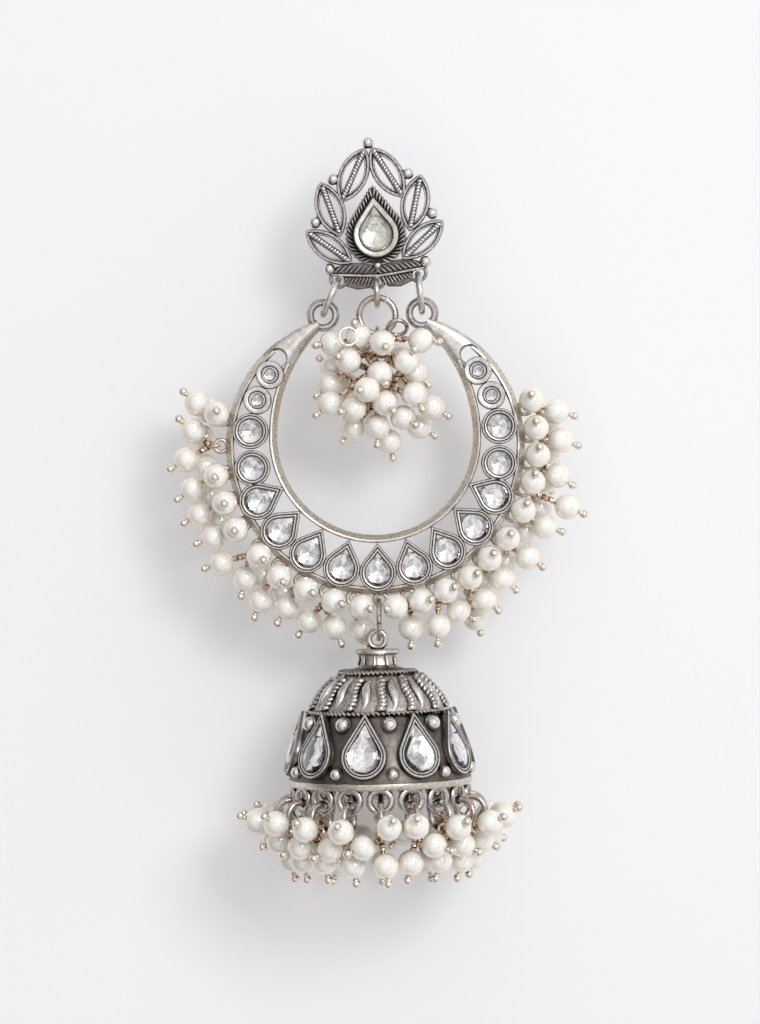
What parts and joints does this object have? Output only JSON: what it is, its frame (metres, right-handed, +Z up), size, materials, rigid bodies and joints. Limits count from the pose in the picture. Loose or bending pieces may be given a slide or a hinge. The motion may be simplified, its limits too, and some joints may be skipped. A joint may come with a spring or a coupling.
{
  "type": "chandbali earring",
  "caption": "Chandbali earring: leaf-crowned post stud, pierced stone-set crescent edged with pearls, inner pearl cluster and a hollow bell drop with a pearl fringe.",
  "frame": {"origin": "Tip of the ear post, which stands on the surface that the earring lies on.", "axes": "+X across the earring, +Y from the bell up to the stud, +Z up from the surface, out of its front."},
  "size_m": [0.0507, 0.0911, 0.0304],
  "materials": {
    "silver": "oxidised silver, burnished on the high places and dark in the recesses",
    "dark_silver": "darker oxidised silver with bright worn edges",
    "pin_wire": "pale silvered wire with a warm copper tint",
    "stone": "clear cut glass over silver foil",
    "stud_stone": "clear cut glass over warm foil",
    "pearl": "cream imitation pearl with a soft nacre sheen"
  },
  "bodies": {
    "root": {"stud_frame": "silver", "jump_ring_left": "silver", "jump_ring_right": "silver", "centre_link": "silver", "centre_ring": "silver", "cluster_links": "silver", "crescent_frame": "silver", "bell_link": "silver", "bell": "dark_silver", "fringe_rings": "dark_silver", "cluster_pins": "pin_wire", "rim_pins_left": "pin_wire", "rim_pins_right": "pin_wire", "fringe_pins": "pin_wire", "crescent_stone_01": "stone", "crescent_stone_02": "stone", "crescent_stone_03": "stone", "crescent_stone_04": "stone", "crescent_stone_05": "stone", "crescent_stone_06": "stone", "crescent_stone_07": "stone", "crescent_stone_08": "stone", "crescent_stone_09": "stone", "crescent_stone_10": "stone", "crescent_stone_11": "stone", "crescent_stone_12": "stone", "crescent_stone_13": "stone", "crescent_stone_14": "stone", "crescent_stone_15": "stone", "crescent_stone_16": "stone", "crescent_stone_17": "stone", "bell_stone_01": "stone", "bell_stone_02": "stone", "bell_stone_03": "stone", "bell_stone_04": "stone", "bell_stone_05": "stone", "bell_stone_06": "stone", "bell_stone_07": "stone", "bell_stone_08": "stone", "bell_stone_09": "stone", "bell_stone_10": "stone", "stud_stone": "stud_stone", "cluster_pearls": "pearl", "rim_pearls_left": "pearl", "rim_pearls_right": "pearl", "fringe_pearls": "pearl"}
  },
  "joints": []
}
